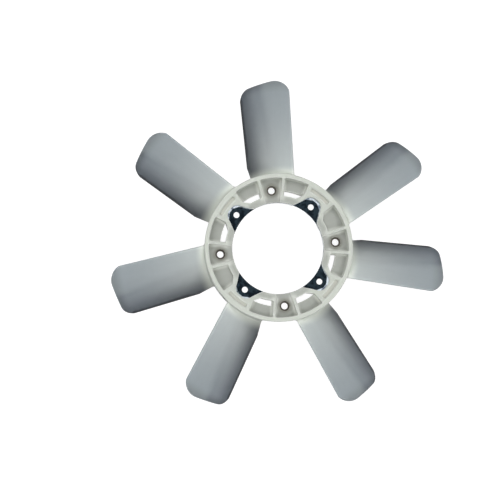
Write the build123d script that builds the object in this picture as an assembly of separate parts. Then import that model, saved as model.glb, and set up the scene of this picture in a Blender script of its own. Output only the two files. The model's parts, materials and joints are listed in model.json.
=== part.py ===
from build123d import *
import os
from math import atan2, cos, degrees, hypot, radians, sin, tan

# Frame: millimetres, fan axis on Z, front of the fan to +Z, Z = 0 on the front face of the steel ring

# Steel mounting ring, with bolt holes in bare ears and in tabs that the plastic covers
BOLT_COUNT = 4
STEEL_BORE_RADIUS = 55.5
STEEL_THICKNESS = 3.0
STEEL_BAND = 5.5
EAR_PITCH_RADIUS = STEEL_BORE_RADIUS + 9.0
EAR_HOLE_RADIUS = 3.6
TAB_PITCH_RADIUS = STEEL_BORE_RADIUS + 15.0
TAB_HOLE_RADIUS = 4.0
TAB_RADIUS = 9.0
TAB_ANGLES = [360 / BOLT_COUNT * i for i in range(BOLT_COUNT)]
EAR_ANGLES = [angle + 180 / BOLT_COUNT for angle in TAB_ANGLES]

# Ear windows, where the steel lies bare, and how far it runs on into the plastic around them
WINDOW_BASE = STEEL_BORE_RADIUS - 5.5
WINDOW_BASE_HALF = 20.1
WINDOW_TOP = EAR_PITCH_RADIUS + 10.2
WINDOW_TOP_HALF = 8.8
WINDOW_CORNER = 10.0
WINDOW_BOW = 1.0
STEEL_BITE = 3.0

# Flat pad around each ear's bolt hole, and the border that slopes up from it to the window's outer end
PAD_TOP = WINDOW_TOP - 2.0
PAD_TOP_HALF = 3.0
PAD_SHOULDER = WINDOW_TOP - 8.2
PAD_SHOULDER_HALF = WINDOW_TOP_HALF + 4.4
BORDER_HEIGHT = 2.0
BORDER_SLOPE = 50.0

# Web around the steel
BORE_RADIUS = STEEL_BORE_RADIUS + 0.25
WEB_FRONT = 4.0
WEB_REAR = -7.0
SEAT_RADIUS = TAB_HOLE_RADIUS + 2.0

# Ribs and pockets on the front of the hub
RIB_FOOT_RADIUS = BORE_RADIUS + 4.25
RIB_THICKNESS = 3.2
RIB_ANGLE = 10.4
POCKET_FLOOR = 2.0
POCKET_CORNER = 1.8
FLOOR_ROUND = 1.4
FLANK_ANGLE = 32.0
SLOT_INNER = STEEL_BORE_RADIUS + STEEL_BAND + 3.0
SLOT_OUTER = SLOT_INNER + 6.5
SLOT_TURN_ANGLE = 25.6
SLOT_RIB_GAP = 1.2
ARC_INNER = WINDOW_TOP + 3.3
ARC_OUTER = ARC_INNER + 5.0
ARC_HALF_ANGLE = 9.7
ARC_FLOOR = 10.5
CLOSED_FLANKS = (0, 2)

# Rim
RIM_INNER = ARC_OUTER + 1.8
RIM_RADIUS = RIM_INNER + 5.2
RIM_FRONT = 15.0
RIM_ROUND = 1.2
RIM_TAPER = tan(radians(3.0))

# Blades
BLADE_ANGLES = (29.4, 88.2, 136.6, 189.0, 237.2, 294.2, 346.8)
TIP_RADIUS = 205.0
ROOT_HALF_WIDTH = 24.6
TIP_HALF_WIDTH = 28.3
ROOT_DEPTH = 47.0
TIP_DEPTH = 36.0
BLADE_SETBACK = 5.0
BLADE_MIDDLE = RIM_FRONT - BLADE_SETBACK - ROOT_DEPTH / 2
ROOT_THICKNESS = 3.8
TIP_THICKNESS = 2.6
CAMBER = 0.085
TIP_RAKE = radians(7.0)
TIP_BULGE = 1.2
TIP_ROUND = 0.9
LEADING_CORNER = 20.0
TRAILING_CORNER = 19.0
EDGE_PLAY = 0.15
EDGE_SPREAD = 1.14
TUCK_LENGTH = 17.0
TUCK_DEPTH = 6.5
TUCK_ROUND = 20.0
ROOT_FILLET = 3.5
BLADE_STATIONS = 5
BLADE_START = RIM_RADIUS - 15.0
BLADE_OVERRUN = 12.0
FAR = 2 * TIP_RADIUS

# Rear of the rim, just behind the trailing edges
RIM_REAR = BLADE_MIDDLE - ROOT_DEPTH / 2 - 3.0
REAR_RADIUS = RIM_RADIUS - (RIM_FRONT - RIM_REAR) * RIM_TAPER
REAR_INNER = REAR_RADIUS - 3.0
REAR_LEAN = 0.6


def polar(radius, angle):
    return (radius * cos(radians(angle)), radius * sin(radians(angle)))


# Outline of one ear window, pointing along +X, with sides that bow inwards
def ear_window():
    middle = (WINDOW_BASE + WINDOW_TOP) / 2
    middle_half = (WINDOW_BASE_HALF + WINDOW_TOP_HALF) / 2 - WINDOW_BOW
    base, top = (WINDOW_BASE, WINDOW_BASE_HALF), (WINDOW_TOP, WINDOW_TOP_HALF)
    side = ThreePointArc(base, (middle, middle_half), top)
    other = mirror(side, Plane.XZ)
    outline = make_face([side, other, Line(side @ 1, other @ 1), Line(side @ 0, other @ 0)])
    return fillet(outline.vertices().group_by(Axis.X)[-1], WINDOW_CORNER)


# Border at the outer end of one ear, along +X: it fills the window around the flat pad
def ear_border():
    half = [
        (WINDOW_BASE, PAD_SHOULDER_HALF + PAD_SHOULDER - WINDOW_BASE),
        (PAD_SHOULDER, PAD_SHOULDER_HALF),
        (PAD_TOP, PAD_TOP_HALF),
    ]
    pad = Polygon(*[(x, -y) for x, y in half], *reversed(half), align=None)
    return extrude(ear_window(), BORDER_HEIGHT) - extrude(pad, 2 * BORDER_HEIGHT, taper=-BORDER_SLOPE)


# Steel ring: a narrow band with four wide ears and four round tabs, each with a bolt hole
def steel_mounting_ring():
    ear = offset(ear_window(), STEEL_BITE) - Pos(EAR_PITCH_RADIUS) * Circle(EAR_HOLE_RADIUS)
    tab = Pos(TAB_PITCH_RADIUS / 2) * Rectangle(TAB_PITCH_RADIUS, 2 * TAB_RADIUS)
    tab += Pos(TAB_PITCH_RADIUS) * Circle(TAB_RADIUS)
    tab -= Pos(TAB_PITCH_RADIUS) * Circle(TAB_HOLE_RADIUS)
    plan = Circle(STEEL_BORE_RADIUS + STEEL_BAND)
    for ear_angle, tab_angle in zip(EAR_ANGLES, TAB_ANGLES):
        plan += Rot(0, 0, ear_angle) * ear
        plan += Rot(0, 0, tab_angle) * tab
    ring = extrude(plan - Circle(STEEL_BORE_RADIUS), -STEEL_THICKNESS)
    border = ear_border()
    for angle in EAR_ANGLES:
        ring += Rot(0, 0, angle) * border
    return ring


# Turned body of the hub: rim, web and the cone that the rib tops lie on
def hub_body():
    outline = Polygon(
        (BORE_RADIUS, WEB_REAR),
        (BORE_RADIUS, WEB_FRONT),
        (RIB_FOOT_RADIUS, WEB_FRONT),
        (RIM_INNER, RIM_FRONT),
        (RIM_RADIUS, RIM_FRONT),
        (REAR_RADIUS, RIM_REAR),
        (REAR_INNER, RIM_REAR),
        (REAR_INNER - REAR_LEAN, WEB_REAR),
        align=None,
    )
    outline = fillet(outline.vertices().sort_by(Axis.X)[-2:], RIM_ROUND)
    seam = (BLADE_ANGLES[0] + BLADE_ANGLES[1]) / 2
    return Rot(0, 0, seam) * revolve(Plane.XZ * outline, Axis.Z)


# Half width, half depth and half thickness of a blade at the distance u from the axis
def blade_sizes(u):
    share = (u - RIM_RADIUS) / (TIP_RADIUS - RIM_RADIUS)
    width = ROOT_HALF_WIDTH + (TIP_HALF_WIDTH - ROOT_HALF_WIDTH) * share
    depth = ROOT_DEPTH + (TIP_DEPTH - ROOT_DEPTH) * share
    thickness = ROOT_THICKNESS + (TIP_THICKNESS - ROOT_THICKNESS) * share
    return width, depth / 2, thickness / 2


# One blade section across the axis: two concentric arcs on the camber line, closed by round edges
def blade_section(u):
    width, drop, half = blade_sizes(u)
    half_chord = hypot(width, drop)
    rise = 2 * half_chord * CAMBER
    radius = (half_chord**2 + rise**2) / (2 * rise)
    middle = degrees(atan2(width, drop))
    opening = degrees(atan2(half_chord, radius - rise))
    rounding = degrees(half / radius)
    lead, trail = middle + opening, middle - opening
    sunk_x, sunk_z = polar(radius - rise, middle)

    def at(distance, angle):
        x, z = polar(distance, angle)
        return (x - sunk_x, z - sunk_z + BLADE_MIDDLE)

    front = ThreePointArc(at(radius + half, lead), at(radius + half, middle), at(radius + half, trail))
    tail = ThreePointArc(at(radius + half, trail), at(radius, trail - rounding), at(radius - half, trail))
    back = ThreePointArc(at(radius - half, trail), at(radius - half, middle), at(radius - half, lead))
    nose = ThreePointArc(at(radius - half, lead), at(radius, lead + rounding), at(radius + half, lead))
    place = Plane(origin=(u, 0, 0), x_dir=(0, 1, 0), z_dir=(1, 0, 0))
    return place * make_face([front, tail, back, nose])


# How far the round edges of a blade lie from the middle of its chord at the distance u
def edge_reach(u):
    width, drop, half = blade_sizes(u)
    return hypot(width, drop) + half + EDGE_PLAY


# Extrudes an outline drawn in the chord plane at the distance u: x outwards, y to the trailing edge
def across_chord(outline, u):
    width, drop = blade_sizes(u)[:2]
    plane = Plane(origin=(0, 0, BLADE_MIDDLE), x_dir=(1, 0, 0), z_dir=(0, drop, width))
    return plane * extrude(outline, FAR, both=True)


# Raked, slightly bulging tip with two round corners
def tip_outline():
    reach = edge_reach(TIP_RADIUS)
    wide = reach * EDGE_SPREAD
    peak = TIP_RADIUS + LEADING_CORNER * (tan(TIP_RAKE) + 1 / cos(TIP_RAKE) - 1) - TIP_BULGE / 2
    fall = 2 * reach * tan(TIP_RAKE)
    lead, trail = (peak, -reach), (peak - fall, reach)
    tip = ThreePointArc(lead, (peak - fall / 2 + TIP_BULGE, 0), trail)
    sides = Polyline(trail, (0, wide), (0, -wide), lead)
    outline = make_face([tip, sides])
    outline = fillet(outline.vertices().sort_by_distance(lead)[0], LEADING_CORNER)
    return fillet(outline.vertices().sort_by_distance(trail)[0], TRAILING_CORNER)


# Root outline: the trailing edge runs in so that it meets the rim in front of its rear edge
def root_outline():
    start = RIM_RADIUS + TUCK_LENGTH
    reach = edge_reach(start)
    slope = TUCK_DEPTH / TUCK_LENGTH
    outline = Polygon(
        (0, -FAR),
        (FAR, -FAR),
        (FAR, reach),
        (start, reach),
        (0, reach - slope * start),
        align=None,
    )
    return fillet(outline.vertices().sort_by_distance((start, reach))[0], TUCK_ROUND)


# One blade along +X, from inside the rim wall to its tip
def blade():
    span = TIP_RADIUS + BLADE_OVERRUN - BLADE_START
    stations = [BLADE_START + span * i / (BLADE_STATIONS - 1) for i in range(BLADE_STATIONS)]
    body = loft([blade_section(u) for u in stations])
    body &= across_chord(tip_outline(), TIP_RADIUS)
    tip_walls = body.faces().filter_by(GeomType.CYLINDER)
    body = fillet(tip_walls.edges().filter_by(GeomType.BSPLINE), TIP_ROUND)
    body &= across_chord(root_outline(), RIM_RADIUS)
    return body - Cylinder((REAR_INNER + REAR_RADIUS) / 2, FAR)


# True for the long curved edges that a blade leaves on the outside of the rim
def joins_rim(edge):
    points = [edge @ share for share in (0, 0.5, 1)]
    offsets = [hypot(p.X, p.Y) - RIM_RADIUS + (RIM_FRONT - p.Z) * RIM_TAPER for p in points]
    return edge.geom_type == GeomType.BSPLINE and all(abs(d) < 0.01 for d in offsets)


# Rim with all blades, filleted where they join
def bladed_hub():
    fan = hub_body()
    one = blade()
    for angle in BLADE_ANGLES:
        fan += Rot(0, 0, angle) * one
    return fillet([e for e in fan.edges() if joins_rim(e)], ROOT_FILLET)


# Point beside the rib at +RIB_ANGLE: a radius out along its middle line, then a distance across it
def beside_rib(radius, distance):
    along, across = polar(radius, RIB_ANGLE), polar(distance, RIB_ANGLE + 90)
    return (along[0] + across[0], along[1] + across[1])


# Bolt pocket between two ribs, open to the bore
def bolt_pocket_plan():
    x_in, y_in = beside_rib(WINDOW_BASE, -RIB_THICKNESS / 2)
    x_out, y_out = beside_rib(RIM_RADIUS, -RIB_THICKNESS / 2)
    wedge = Polygon((x_in, -y_in), (x_out, -y_out), (x_out, y_out), (x_in, y_in), align=None)
    plan = wedge & Circle(RIM_INNER)
    return fillet(plan.vertices().group_by(Axis.X)[-1], POCKET_CORNER)


# Flank pocket between a rib and the wall of the next ear, starting at a gap from the rib
def flank_pocket_plan(gap):
    outer = polar(SLOT_OUTER, FLANK_ANGLE)
    turn = polar(SLOT_INNER, SLOT_TURN_ANGLE)
    wedge = Polygon(
        beside_rib(WINDOW_BASE, RIB_THICKNESS / 2 + gap),
        beside_rib(RIM_RADIUS, RIB_THICKNESS / 2 + gap),
        polar(RIM_RADIUS, FLANK_ANGLE),
        outer,
        (2 * turn[0] - outer[0], 2 * turn[1] - outer[1]),
        align=None,
    )
    plan = wedge & (Circle(RIM_INNER) - Circle(SLOT_INNER))
    return fillet(plan.vertices(), POCKET_CORNER)


# Shallow pocket between an ear's wall and the rim
def arc_pocket_plan():
    x, y = polar(RIM_RADIUS, ARC_HALF_ANGLE)
    plan = Polygon((0, 0), (x, -y), (x, y), align=None) & (Circle(ARC_OUTER) - Circle(ARC_INNER))
    return fillet(plan.vertices(), POCKET_CORNER)


# A pocket cut down from the front, with round edges around its floor
def pocket(plan, floor):
    body = Pos(0, 0, floor) * extrude(plan, RIM_FRONT)
    return fillet(body.edges().group_by(Axis.Z)[0], FLOOR_ROUND)


# Fan moulding: bladed hub with its pockets, slots and windows, moulded around the steel
def fan_moulding(steel):
    fan = bladed_hub()
    bolt_pocket = pocket(bolt_pocket_plan(), POCKET_FLOOR)
    flank_pocket = pocket(flank_pocket_plan(0), POCKET_FLOOR)
    slot = extrude(flank_pocket_plan(SLOT_RIB_GAP) & Circle(SLOT_OUTER), FAR, both=True)
    seat = Pos(TAB_PITCH_RADIUS) * Cylinder(SEAT_RADIUS, FAR)
    for i, angle in enumerate(TAB_ANGLES):
        turn = Rot(0, 0, angle)
        fan -= turn * bolt_pocket
        fan -= turn * (flank_pocket + mirror(flank_pocket, Plane.XZ) + mirror(slot, Plane.XZ))
        if i not in CLOSED_FLANKS:
            fan -= turn * slot
    arc_pocket = pocket(arc_pocket_plan(), ARC_FLOOR)
    window = extrude(ear_window(), FAR, both=True)
    for angle in EAR_ANGLES:
        fan -= Rot(0, 0, angle) * (arc_pocket + window)
    fan -= steel
    for angle in TAB_ANGLES:
        fan -= Rot(0, 0, angle) * seat
    return fan


os.makedirs("parts", exist_ok=True)
steel = steel_mounting_ring()
export_step(steel, "parts/steel_mounting_ring.step")
export_step(fan_moulding(steel), "parts/fan_moulding.step")
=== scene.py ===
# %% [markdown]
# # An engine cooling fan, dressed in Blender
#
# The fan is one white nylon moulding with seven pitched blades. A steel mounting ring is moulded into its
# hub, and four ears of that ring lie bare around the bore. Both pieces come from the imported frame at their
# true size, so this lesson never moves them: it gives them a finish, light and a camera.

# %% Load the frame
import json
import math
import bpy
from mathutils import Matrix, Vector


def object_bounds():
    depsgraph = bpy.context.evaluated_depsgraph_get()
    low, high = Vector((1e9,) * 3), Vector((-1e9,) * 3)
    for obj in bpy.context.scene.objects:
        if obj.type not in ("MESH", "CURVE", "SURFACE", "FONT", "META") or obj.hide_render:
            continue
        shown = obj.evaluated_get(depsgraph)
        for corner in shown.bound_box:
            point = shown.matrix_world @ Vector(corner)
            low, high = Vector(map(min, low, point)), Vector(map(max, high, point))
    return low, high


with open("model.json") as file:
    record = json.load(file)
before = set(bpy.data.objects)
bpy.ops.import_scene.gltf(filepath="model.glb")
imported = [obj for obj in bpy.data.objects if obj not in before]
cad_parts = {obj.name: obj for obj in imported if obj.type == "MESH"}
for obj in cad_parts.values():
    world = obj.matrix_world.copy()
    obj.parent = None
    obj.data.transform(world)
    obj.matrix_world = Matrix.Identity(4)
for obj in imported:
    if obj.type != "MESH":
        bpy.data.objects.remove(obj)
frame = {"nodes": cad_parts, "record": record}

from types import SimpleNamespace

import bpy
from mathutils import Matrix, Vector

scene = bpy.context.scene
scene.view_settings.view_transform = "Standard"
fan, steel = frame["nodes"]["fan_moulding"], frame["nodes"]["steel_mounting_ring"]
cad_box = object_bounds()
print("CAD box", [round(value, 4) for corner in cad_box for value in corner])

# %% [markdown]
# ## Camera
#
# The fan lies on its back and the camera looks down on it, a few degrees off its axis, so that a sliver of
# the rim's outer wall shows at the lower left. A long lens at two metres keeps the blades nearly free of
# perspective. The camera's axes are worked out from its tilt, its direction round the fan and its roll. It
# aims a little beside the hub, because the fan sits right of the picture's middle.

# %% Camera
CAMERA_DISTANCE = 2.2
CAMERA_TILT = math.radians(6.97)
CAMERA_ROUND = math.radians(217.6)
CAMERA_ROLL = math.radians(6.49)
CAMERA_LENS, CAMERA_SENSOR = 130.5, 36
AIM_RIGHT, AIM_UP = -0.0339, -0.002


def direction_to(tilt, angle):
    """The direction that leans from the fan's axis by a tilt, towards an angle round it."""
    return Vector((math.sin(tilt) * math.cos(angle), math.sin(tilt) * math.sin(angle), math.cos(tilt)))


def camera_matrix():
    back = direction_to(CAMERA_TILT, CAMERA_ROUND)
    level = Vector((0, 1, 0)).cross(back).normalized()
    roll = Matrix.Rotation(CAMERA_ROLL, 3, -back)
    right, up = roll @ level, roll @ back.cross(level)
    eye = back * CAMERA_DISTANCE
    sight = (eye - right * AIM_RIGHT - up * AIM_UP).normalized()
    across = up.cross(sight).normalized()
    axes = Matrix((across, sight.cross(across), sight)).transposed()
    return Matrix.Translation(eye) @ axes.to_4x4()


camera = bpy.data.objects.new("camera", bpy.data.cameras.new("camera"))
camera.data.lens = CAMERA_LENS
camera.data.sensor_width = CAMERA_SENSOR
camera.matrix_world = camera_matrix()
scene.collection.objects.link(camera)
scene.camera = camera
print("camera at", [round(value, 3) for value in camera.matrix_world.translation])

# %% [markdown]
# ## Shader sums as Python
#
# A finish is mostly sums: a mask times a tint, plus a little noise. Wired by hand, such a sum is hard to
# read, so this class wraps an output socket and lets Python's own operators add the Math nodes. Every other
# node comes from its `node` method, which takes the node's type, its settings, and the values or wires of
# its sockets.


# %% Shader sums
class Wire:
    def __init__(self, tree, socket=None):
        self.tree = tree
        self.socket = socket

    def node(self, kind, settings, sockets, out=0):
        made = self.tree.nodes.new(kind)
        for name, value in settings.items():
            setattr(made, name, value)
        for name, value in sockets.items():
            if isinstance(value, Wire):
                self.tree.links.new(value.socket, made.inputs[name])
            else:
                made.inputs[name].default_value = value
        return Wire(self.tree, made.outputs[out])

    def math(self, operation, *values):
        return self.node("ShaderNodeMath", {"operation": operation}, dict(enumerate(values)))

    def vector(self, operation, *values, out=0):
        return self.node("ShaderNodeVectorMath", {"operation": operation}, dict(enumerate(values)), out)

    def __add__(self, other):
        return self.math("ADD", self, other)

    def __sub__(self, other):
        return self.math("SUBTRACT", self, other)

    def __rsub__(self, other):
        return self.math("SUBTRACT", other, self)

    def __mul__(self, other):
        return self.math("MULTIPLY", self, other)

    def __abs__(self):
        return self.math("ABSOLUTE", self)

    __radd__ = __add__
    __rmul__ = __mul__


print("wire operators:", "+ - * abs")

# %% [markdown]
# ## Small steps that every finish shares
#
# A soft step turns a distance into a mask, a blend lays one colour over another by that mask, and a shade
# makes a colour darker or lighter. Two masks join into one by the larger of them. Noise of a given size in
# metres gives clouds or grain.

# %% Masks and colours
MIX_FACTOR, MIX_UNDER, MIX_OVER, MIX_RESULT = 0, 6, 7, 2


def step(value, start, end):
    """0 at the start, 1 at the end, and soft in between."""
    limits = {"Value": value, "From Min": start, "From Max": end}
    return value.node("ShaderNodeMapRange", {"interpolation_type": "SMOOTHSTEP"}, limits)


def blend(mask, under, over):
    colours = {MIX_FACTOR: mask, MIX_UNDER: under, MIX_OVER: over}
    return mask.node("ShaderNodeMix", {"data_type": "RGBA"}, colours, MIX_RESULT)


def shade(colour, tone):
    return colour.node("ShaderNodeVectorMath", {"operation": "SCALE"}, {0: colour, "Scale": tone})


def larger(one, other):
    return one.math("MAXIMUM", one, other)


def dot(one, other):
    return one.vector("DOT_PRODUCT", one, other, out="Value")


def noise(spot, size, detail):
    return spot.node("ShaderNodeTexNoise", {}, {"Vector": spot, "Scale": 1 / size, "Detail": detail})


print("masks by step and larger, colours by blend and shade")

# %% [markdown]
# A new finish starts as an empty material. What is the same all over the surface is set on the shader's own
# sockets, and only what changes over the surface is fed by wires, because an exported model keeps no more.


# %% Finishes
def new_finish(name, constants):
    material = bpy.data.materials.new(name)
    material.use_nodes = True
    shader = material.node_tree.nodes["Principled BSDF"]
    for socket, value in constants.items():
        shader.inputs[socket].default_value = value
    return material, shader, Wire(material.node_tree)


def feed(shader, socket, wire):
    wire.tree.links.new(wire.socket, shader.inputs[socket])


def dress(piece, material):
    piece.data.materials.clear()
    piece.data.materials.append(material)
    print(piece.name, "wears", material.name, "on", len(piece.data.polygons), "faces")


# %% [markdown]
# ## Places on the fan
#
# The marks on a fan, and the light and shade painted on it here, follow its shape: they depend on how far
# from the axis a point lies, how deep it lies in the hub, which way its surface leans, and how near a bolt
# or a rib it is. All of these come from object coordinates, which are the fan's own metres, so the painted
# colours stay on the fan from every side. The hub repeats after each quarter turn, so folding the quarters
# into one gives one bolt and one rib to measure from.

# %% Places
MOUNTS = {mount["name"]: mount["dims"] for mount in frame["record"]["mounts"]}
TAB_PITCH = MOUNTS["tab_bolts"]["pcd_mm"] / 2000


def axis_of(vector, axis):
    return vector.node("ShaderNodeSeparateXYZ", {}, {"Vector": vector}, axis)


def places(wire):
    spot = wire.node("ShaderNodeTexCoord", {}, {}, "Object")
    normal = wire.node("ShaderNodeTexCoord", {}, {}, "Normal")
    flat = wire.vector("MULTIPLY", spot, (1, 1, 0))
    outward = wire.vector("NORMALIZE", flat)
    folded = wire.vector("ABSOLUTE", flat)
    x, y = axis_of(folded, "X"), axis_of(folded, "Y")
    return SimpleNamespace(
        spot=spot,
        normal=normal,
        upward=axis_of(normal, "Z"),
        radius=wire.vector("LENGTH", flat, out="Value"),
        height=axis_of(spot, "Z"),
        outward=outward,
        turning=wire.vector("CROSS_PRODUCT", (0, 0, 1), outward),
        along=wire.math("MAXIMUM", x, y),
        beside=wire.math("MINIMUM", x, y),
    )


def from_bolt(at):
    """Distance from the axis of the nearest tab bolt."""
    reach = at.spot.node("ShaderNodeCombineXYZ", {}, {"X": at.along - TAB_PITCH, "Y": at.beside})
    return at.spot.vector("LENGTH", reach, out="Value")


def from_ray(at, angle):
    """Distance from the line that leaves the fan's axis at an angle beside the nearest tab bolt."""
    return abs(at.beside * math.cos(angle) - at.along * math.sin(angle))


print("tab bolts at", TAB_PITCH, "m from the axis")

# %% [markdown]
# ## Nylon: grey blades with painted shade
#
# The blades are painted a cool grey that deepens towards their tips. Their steep trailing sides carry a
# darker painted shade, as if they turned away from the light. That shade ends in a thin line of painted
# shadow along the edge, and their flatter leading sides carry a paler painted light. The blade's lean along
# the turning direction tells its leading from its trailing edge, on both faces. The whole blade leans less
# towards the tip, so the lean of its middle is taken off first.

# %% Blade grey
RIM_RADIUS, TIP_RADIUS = 0.090, 0.205
ROOT_LEAN, TIP_LEAN = 0.70, 0.669
BLADE_ROOT = (0.714, 0.750, 0.725, 1)
BLADE_TIP = (0.297, 0.332, 0.362, 1)
THINNING_START = 0.02
TRAILING_PAINTED_SHADE = (0.012, 0.020, 0.040, 1)
LEADING_PAINTED_LIGHT, LEADING_SHARE = (0.638, 0.700, 0.700, 1), 0.24
LEADING_EDGE, LEADING_SIDE, TRAILING_SIDE = -0.175, -0.071, 0.249
TIP_FADE, TIP_DARK = 0.190, 0.40
LINE_START, LINE_END, LINE_DRIFT, LINE_DARK = 0.148, 0.172, 0.07, 0.65


def blade_grey_and_painted_shade(at):
    """A blade's colour with painted shade and light, and a mask growing from its middle to its trailing
    edge.
    """
    span = (at.radius - RIM_RADIUS) * (1 / (TIP_RADIUS - RIM_RADIUS))
    lean = dot(at.normal, at.turning) * at.upward.math("SIGN", at.upward)
    chord = lean - ROOT_LEAN + span * (ROOT_LEAN - TIP_LEAN)
    trailing = step(chord, LEADING_SIDE, TRAILING_SIDE)
    leading = 1 - step(chord, LEADING_EDGE, LEADING_SIDE)
    edge_line = step(chord + span * LINE_DRIFT, LINE_START, LINE_END)
    colour = blend(step(at.radius, THINNING_START, TIP_RADIUS), BLADE_ROOT, BLADE_TIP)
    # Painted shade: the steep trailing side turns a dark grey.
    colour = blend(trailing, colour, TRAILING_PAINTED_SHADE)
    colour = shade(colour, 1 - step(at.radius, TIP_FADE, TIP_RADIUS) * TIP_DARK)
    # Painted shadow: a thin dark line along the trailing edge.
    colour = shade(colour, 1 - edge_line * LINE_DARK)
    # Painted light: the flatter leading side turns paler.
    return blend(leading * LEADING_SHARE, colour, LEADING_PAINTED_LIGHT), trailing


print("blades from", RIM_RADIUS, "to", TIP_RADIUS, "m")

# %% [markdown]
# ## Nylon: white hub
#
# Where nylon is thick, as in the hub, it looks nearly white with a trace of green. The roots of the blades
# are painted lighter for their first centimetre, a painted light that lifts the shade of the rim above them.
# The rim's own outer wall lies at the same radius as those roots, but faces outwards, and that tells the two
# apart.

# %% Hub white
HUB_WHITE = (0.66, 0.69, 0.635, 1)
RIM_CORNER, ROOT_FADE = 0.001, 0.013
ROOT_PAINTED_LIGHT, ROOT_REACH, GLOW_ONSET = 0.30, 0.012, 0.0005
WALL_FACING, WALL_SQUARE = 0.5, 0.9
FILLET_START, FILLET_END = 0.004, 0.008


def hub_and_blades(at):
    blade, trailing = blade_grey_and_painted_shade(at)
    before_fillet = 1 - step(at.radius, RIM_RADIUS + FILLET_START, RIM_RADIUS + FILLET_END)
    off_wall = 1 - step(dot(at.normal, at.outward), WALL_FACING, WALL_SQUARE) * before_fillet
    on_blade = step(at.radius, RIM_RADIUS - RIM_CORNER, RIM_RADIUS + ROOT_FADE) * off_wall
    past_rim = step(at.radius, RIM_RADIUS - GLOW_ONSET, RIM_RADIUS + GLOW_ONSET)
    by_root = (1 - step(at.radius, RIM_RADIUS, RIM_RADIUS + ROOT_REACH)) * off_wall * (1 - trailing)
    # Painted light: the blade roots next to the rim are lightened.
    return shade(blend(on_blade, HUB_WHITE, blade), 1 + past_rim * by_root * ROOT_PAINTED_LIGHT)


print("blade roots glow for", ROOT_REACH, "m")

# %% [markdown]
# ## Nylon: soft edges
#
# The mould rounds every edge of the hub. Those roundings are too small to model, so a bevel in the shader
# softens the normal there. Where the softened normal turns away from the true one, there is an edge, and
# that gives a mask: the hub's edges are painted a lighter colour, a painted light over their shade.

# %% Soft edges
EDGE_SOFTNESS, EDGE_SAMPLES = 0.0022, 4
EDGE_TURN = 0.25
EDGE_PAINTED_LIGHT = (0.86, 0.88, 0.83, 1)
EDGE_LIMIT = RIM_RADIUS + 0.004


def soft_edges(wire, at):
    """The softened normal, and a mask of the hub's edges."""
    soft = wire.node("ShaderNodeBevel", {"samples": EDGE_SAMPLES}, {"Radius": EDGE_SOFTNESS})
    true = wire.node("ShaderNodeNewGeometry", {}, {}, "Normal")
    on_hub = 1 - step(at.radius, RIM_RADIUS, EDGE_LIMIT)
    return soft, step(1 - dot(soft, true), 0.0, EDGE_TURN) * on_hub


print("edges soft over", EDGE_SOFTNESS, "m")

# %% [markdown]
# ## Nylon: painted shade and light in the pockets and round the bolts
#
# The deeper a place lies in the hub, the greyer it is painted: the floors of the pockets and the land around
# the bore, which are thin webs, get a painted shade. Next to a rib or a flank, and on steep walls, they are
# painted lighter, a painted light over the shade gathered there. The rib tops lie on a cone, and the shallow
# floors below that cone are painted a little darker and beige, also a painted shade. Around the bolts the
# floor is painted brown, a painted shadow of the steel below.

# %% Pocket walls
RIB_FOOT_RADIUS, RIB_FOOT_HEIGHT = 0.060, 0.004
RIB_ANGLE, FLANK_ANGLE = math.radians(10.4), math.radians(32.0)
RIB_HALF = 0.0016
PAINTED_LIGHT_REACH = 0.0048


def near_walls(at):
    """1 at the ribs and the flanks of the pockets, and 0 a few millimetres away from them."""
    by_rib = 1 - step(from_ray(at, RIB_ANGLE), RIB_HALF, RIB_HALF + PAINTED_LIGHT_REACH)
    by_flank = 1 - step(from_ray(at, FLANK_ANGLE), 0.0, PAINTED_LIGHT_REACH)
    beyond_foot = step(at.radius, RIB_FOOT_RADIUS - PAINTED_LIGHT_REACH, RIB_FOOT_RADIUS + PAINTED_LIGHT_REACH)
    return larger(by_rib, by_flank) * beyond_foot


print("walls glow for", PAINTED_LIGHT_REACH, "m")

# %% Pocket floors and painted shade round the bolts
RIM_INNER, RIM_FRONT = 0.0848, cad_box[1].z
RIM_EDGE_START, RIM_EDGE_END = RIM_INNER - 0.0015, RIM_INNER + 0.0005
RIB_RISE = (RIM_FRONT - RIB_FOOT_HEIGHT) / (RIM_INNER - RIB_FOOT_RADIUS)
WEB_REAR, REAR_FADE = -0.007, 0.001
WALL_STEEP, FLOOR_LEVEL = 0.4, 0.9
SUNK_START, SUNK_END = 0.0008, 0.0024
POCKET_FLOOR, POCKET_LIP = 0.002, 0.0075
SUNK_BEIGE_SHADE = (0.61, 0.615, 0.56, 1)
POCKET_PAINTED_SHADE = (0.44, 0.455, 0.425, 1)
WALL_PAINTED_LIGHT = (0.79, 0.805, 0.76, 1)
BOLT_PAINTED_SHADE, BROWN_SHARE = (0.22, 0.215, 0.18, 1), 0.85
SEAT_RADIUS, SEAT_EDGE, BOLT_SHADE_RADIUS = 0.006, 0.001, 0.0115


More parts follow.
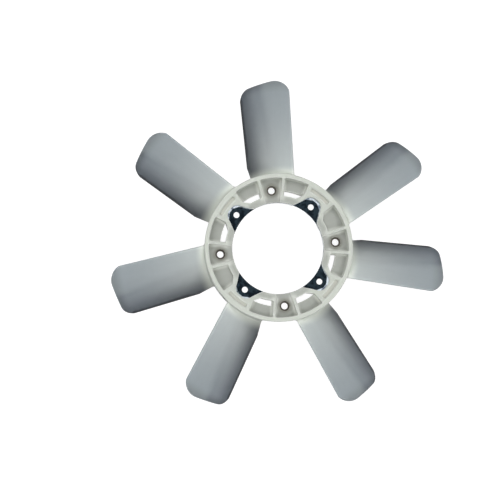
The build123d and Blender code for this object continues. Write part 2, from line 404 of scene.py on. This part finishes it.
def with_pockets(at, colour, edges):
    cone = RIB_FOOT_HEIGHT + (at.radius - RIB_FOOT_RADIUS) * RIB_RISE
    below_ribs = cone.math("MAXIMUM", cone, RIB_FOOT_HEIGHT) - at.height
    inside = 1 - step(at.radius, RIM_EDGE_START, RIM_EDGE_END)
    front = step(at.height, WEB_REAR - REAR_FADE, WEB_REAR) * inside
    level = step(abs(at.upward), WALL_STEEP, FLOOR_LEVEL)
    sunk = step(below_ribs, SUNK_START, SUNK_END) * front * level
    deep = (1 - step(at.height, POCKET_FLOOR, POCKET_LIP)) * front
    bolt_shaded = (1 - step(from_bolt(at), SEAT_RADIUS - SEAT_EDGE, BOLT_SHADE_RADIUS)) * deep
    # Painted light: floors next to ribs and flanks, and steep walls, turn lighter.
    floor = blend(larger(near_walls(at), 1 - level), POCKET_PAINTED_SHADE, WALL_PAINTED_LIGHT)
    # Painted shade: deep floors turn grey, and shallow floors below the rib cone a darker beige.
    colour = blend(deep, blend(sunk, colour, SUNK_BEIGE_SHADE), floor)
    # Painted light: the hub's edges turn lighter.
    colour = blend(edges, colour, EDGE_PAINTED_LIGHT)
    # Painted shadow: the floor around each bolt turns brown.
    return blend(bolt_shaded * BROWN_SHARE, colour, BOLT_PAINTED_SHADE)


print("pocket floors inside", RIM_INNER, "m")

# %% [markdown]
# ## Nylon: scattering, clouds, flow streaks and grain
#
# Light enters milky nylon and comes out a few millimetres away, which blurs all shading. The shader's
# subsurface scattering does that, with one depth for all colours. Nylon cools unevenly, which leaves faint
# clouds. It also flows from the hub into the blades, which leaves streaks along them: noise on the direction
# from the axis, stretched along the radius, gives those. The mould's surface leaves a fine grain.

# %% Natural nylon
SCATTER_DEPTH = 0.004
NYLON = {
    "Specular IOR Level": 0.15,
    "Subsurface Weight": 1.0,
    "Subsurface Radius": (1, 1, 1),
    "Subsurface Scale": SCATTER_DEPTH,
}
CLOUD_SIZE, MOTTLE_SIZE, GRAIN_SIZE = 0.030, 0.006, 0.0010
STREAK_SIZE, STREAK_CIRCLE, STREAK_STRETCH = 0.004, 0.15, 8.0
EVEN_TONE, CLOUD_TONE, MOTTLE_TONE, STREAK_TONE = 0.93, 0.05, 0.04, 0.05
EVEN_ROUGH, CLOUD_ROUGH, MOTTLE_ROUGH = 0.40, 0.12, 0.06
GRAIN_HEIGHT = 0.00004


def natural_nylon():
    material, shader, wire = new_finish("natural_nylon", NYLON)
    at = places(wire)
    soft, edges = soft_edges(wire, at)
    clouds, mottle = noise(at.spot, CLOUD_SIZE, 3), noise(at.spot, MOTTLE_SIZE, 2)
    depth = wire.node("ShaderNodeCombineXYZ", {}, {"Z": at.radius * (1 / STREAK_STRETCH)})
    flow = wire.vector("MULTIPLY_ADD", at.outward, (STREAK_CIRCLE, STREAK_CIRCLE, 0), depth)
    streaks = noise(flow, STREAK_SIZE, 2)
    tone = EVEN_TONE + clouds * CLOUD_TONE + mottle * MOTTLE_TONE + streaks * STREAK_TONE
    feed(shader, "Base Color", shade(with_pockets(at, hub_and_blades(at), edges), tone))
    feed(shader, "Roughness", EVEN_ROUGH + clouds * CLOUD_ROUGH + mottle * MOTTLE_ROUGH)
    grain = {"Height": noise(at.spot, GRAIN_SIZE, 1), "Distance": GRAIN_HEIGHT, "Normal": soft}
    feed(shader, "Normal", wire.node("ShaderNodeBump", {}, grain))
    return material


dress(fan, natural_nylon())

# %% [markdown]
# ## Plated steel
#
# The ring is zinc plated sheet. It is smooth enough to mirror what stands above it, so its flat pads look
# nearly black under a dark ceiling, while its borders curl up and flash with the bright walls. Rolling
# leaves fine lines, and plating leaves bluish stains that break up the flash. Down in the bolt pockets the
# steel is rougher and painted a dark brown, a painted shade for the pockets' depth.

# %% Plated steel
ZINC = (0.70, 0.77, 0.83, 1)
ZINC_STAIN = (0.18, 0.22, 0.27, 1)
STEEL_PAINTED_SHADE = (0.11, 0.10, 0.085, 1)
STAIN_SIZE, STAIN_START, STAIN_END = 0.006, 0.42, 0.62
ROLLING_SIZE, ROLLING_SQUEEZE = 0.004, 14
ROLLING_DEPTH, ROLLING_STRENGTH = 0.00001, 0.5
DULL_SHADE_START, DULL_SHADE_END = SEAT_RADIUS + 0.0005, SEAT_RADIUS + 0.002
BRIGHT_ROUGH, STAIN_ROUGH, ROLLING_ROUGH, DULL_ROUGH = 0.04, 0.04, 0.03, 0.3


def plated_steel():
    material, shader, wire = new_finish("plated_steel", {"Metallic": 1.0})
    at = places(wire)
    stain = step(noise(at.spot, STAIN_SIZE, 3), STAIN_START, STAIN_END)
    rolling = noise(wire.vector("MULTIPLY", at.spot, (1, ROLLING_SQUEEZE, 1)), ROLLING_SIZE, 2)
    dull_shade = 1 - step(from_bolt(at), DULL_SHADE_START, DULL_SHADE_END)
    # Painted shade: the steel round each bolt turns dark brown, and it is rougher there.
    feed(shader, "Base Color", blend(dull_shade, blend(stain, ZINC, ZINC_STAIN), STEEL_PAINTED_SHADE))
    rough = BRIGHT_ROUGH + stain * STAIN_ROUGH + rolling * ROLLING_ROUGH + dull_shade * DULL_ROUGH
    feed(shader, "Roughness", rough)
    lines = {"Height": rolling, "Distance": ROLLING_DEPTH, "Strength": ROLLING_STRENGTH}
    feed(shader, "Normal", wire.node("ShaderNodeBump", {}, lines))
    return material


dress(steel, plated_steel())

# %% [markdown]
# ## Floor
#
# The fan lies on a white floor that runs out of the picture. A floor that is white only by its paint would
# need so much light that the fan burned out, so it glows for rays that look at it, and gathers the fan's
# soft shadow on a grey paint below that glow.

# %% Floor
FLOOR_SIZE = 30.0
FLOOR_GLOW = (0.93, 0.93, 0.93, 1)
FLOOR_PAINT = (0.30, 0.30, 0.30, 1)
BLACK = (0, 0, 0, 1)
MATT = {"Base Color": FLOOR_PAINT, "Roughness": 1.0, "Specular IOR Level": 0.0, "Emission Strength": 1.0}


def looked_at(wire):
    """1 for rays from the camera, a mirror or glass, and 0 for rays that only gather light."""
    camera_ray, glossy_ray, glass_ray = [
        wire.node("ShaderNodeLightPath", {}, {}, name)
        for name in ("Is Camera Ray", "Is Glossy Ray", "Is Transmission Ray")
    ]
    return larger(larger(camera_ray, glossy_ray), glass_ray)


def white_floor():
    material, shader, wire = new_finish("white_floor", MATT)
    feed(shader, "Emission Color", blend(looked_at(wire), BLACK, FLOOR_GLOW))
    return material


bpy.ops.mesh.primitive_plane_add(size=FLOOR_SIZE, location=(0, 0, cad_box[0].z))
floor = bpy.context.object
floor.name = "floor"
dress(floor, white_floor())

# %% [markdown]
# ## Walls and ceiling
#
# The steel is a mirror, so it shows the room. White walls give its borders their flash, and a dark ceiling
# keeps its pads dark. Neither of them lights the fan: for rays that only gather light, the room is an even
# grey. That quarter of the light comes from all sides and lifts the shade in the pockets and under the
# blades, and the lamps give the rest.

# %% Walls and ceiling
WALL_WHITE = (1, 1, 1, 1)
CEILING_DARK = (0.032, 0.046, 0.056, 1)
WALL_TOP, CEILING_EDGE = 0.55, 0.90
AMBIENT_SHARE = 0.25
AMBIENT = (AMBIENT_SHARE, AMBIENT_SHARE, AMBIENT_SHARE, 1)

world = bpy.data.worlds.new("studio")
world.use_nodes = True
scene.world = world
sky = Wire(world.node_tree)
skyward = axis_of(sky.node("ShaderNodeTexCoord", {}, {}, "Generated"), "Z")
room = blend(step(skyward, WALL_TOP, CEILING_EDGE), WALL_WHITE, CEILING_DARK)
feed(world.node_tree.nodes["Background"], "Color", blend(looked_at(sky), AMBIENT, room))
print("walls up to", round(math.degrees(math.asin(WALL_TOP))), "degrees")

# %% [markdown]
# ## Lamps
#
# Every blade of the fan is equally bright at the same slope, so the light comes evenly from all round the
# axis. Eight soft lamps in a ring do that, and leave the middle of the ceiling dark. Their power is worked
# out so that, with the room's share, a white sheet on the hub would render just white.

# %% Lamps
LAMP_COUNT = 8
LAMP_DISTANCE = 1.2
LAMP_TILT = math.radians(30)
LAMP_SIZE = 0.38
LAMP_SHARE = 1 - AMBIENT_SHARE
LAMP_POWER = LAMP_SHARE * math.pi**2 * LAMP_DISTANCE**2 / (LAMP_COUNT * math.cos(LAMP_TILT))


def hang_lamp(name, angle):
    light = bpy.data.lights.new(name, "AREA")
    light.shape = "DISK"
    light.size = LAMP_SIZE
    light.energy = LAMP_POWER
    lamp = bpy.data.objects.new(name, light)
    stand = direction_to(LAMP_TILT, angle)
    facing_hub = stand.to_track_quat("Z", "Y").to_matrix().to_4x4()
    lamp.matrix_world = Matrix.Translation(stand * LAMP_DISTANCE) @ facing_hub
    scene.collection.objects.link(lamp)


for i in range(LAMP_COUNT):
    hang_lamp(f"lamp_{i}", math.tau * i / LAMP_COUNT)
print(LAMP_COUNT, "lamps of", round(LAMP_POWER, 2), "W")
